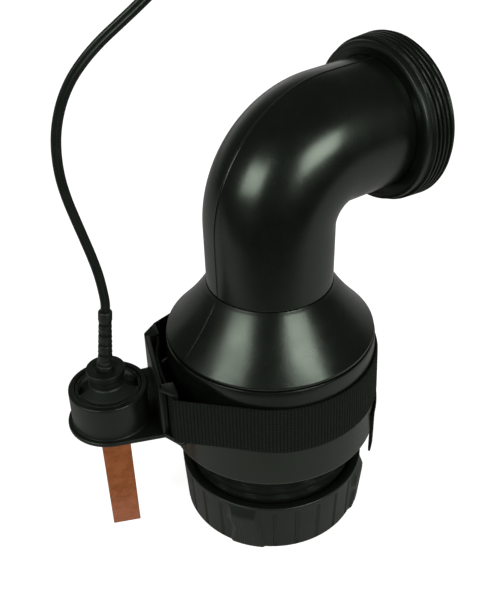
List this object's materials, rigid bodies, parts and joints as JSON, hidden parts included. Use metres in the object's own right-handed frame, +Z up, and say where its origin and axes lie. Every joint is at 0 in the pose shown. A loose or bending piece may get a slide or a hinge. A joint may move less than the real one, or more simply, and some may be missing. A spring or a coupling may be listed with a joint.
{
  "type": "swing check valve elbow with electrode probe",
  "caption": "Right-angle discharge check valve with a union nut inlet, a threaded outlet collar and a corded copper electrode probe held on by a webbing strap.",
  "frame": {"origin": "centre of the inlet socket's mouth, at the bottom of the union", "axes": "+Z up along the valve body's axis, +X along the outlet, away from the body"},
  "size_m": [0.1747, 0.1103, 0.2977],
  "materials": {
    "black_abs": "moulded, satin gloss",
    "black_pp": "moulded",
    "grey_pvc": "moulded",
    "flapper_plastic": "moulded",
    "nitrile": "moulded",
    "boot_rubber": "moulded",
    "stainless": "turned",
    "copper": "rolled copper bar, lightly tarnished",
    "tinned_brass": "stamped",
    "core_insulation": "extruded",
    "resin": "cast",
    "webbing": "woven",
    "hook_nylon": "moulded hooks",
    "cord_pvc": "extruded"
  },
  "bodies": {
    "valve": {"elbow_tube": "black_abs", "upper_cone": "black_abs", "outlet_collar": "black_abs", "valve_bowl": "black_abs", "seat_ring": "grey_pvc", "seat_oring": "nitrile", "hinge_pin": "stainless", "pin_clips": "stainless", "probe_bracket": "black_pp", "probe_body": "black_abs", "gland_cap": "black_abs", "potting": "resin", "electrode_front": "copper", "electrode_rear": "copper", "terminal_lugs": "tinned_brass", "core_wires": "core_insulation", "strain_relief": "boot_rubber", "strap_band": "webbing", "strap_tail": "webbing", "hook_tape": "hook_nylon", "cord_tube": "cord_pvc", "connector_body": "cord_pvc", "connector_pins": "tinned_brass"},
    "check_flapper": {"flapper": "flapper_plastic", "flapper_seal": "nitrile", "seal_washer": "stainless", "seal_screw": "stainless", "seal_nut": "stainless"},
    "union_end": {"union_tailpiece": "grey_pvc", "union_oring": "nitrile"},
    "union_ring": {"union_nut": "black_pp"}
  },
  "joints": [
    {"name": "flapper_swing", "type": "hinge", "parent": "valve", "child": "check_flapper", "pos_m": [-0.0365, 0, 0.0652], "axis": [0, -1, 0], "range_deg": [0, 70]},
    {"name": "union_release", "type": "slide", "parent": "valve", "child": "union_end", "axis": [0, 0, -1], "range_m": [0, 0.018]},
    {"name": "union_nut_turn", "type": "hinge", "parent": "union_end", "child": "union_ring", "pos_m": [0, 0, 0], "axis": [0, 0, -1], "range_deg": [0, 1080]}
  ],
  "couplings": [
    {"joint": "union_nut_turn", "follows": "union_release", "rad_per_m": 1047.2}
  ]
}
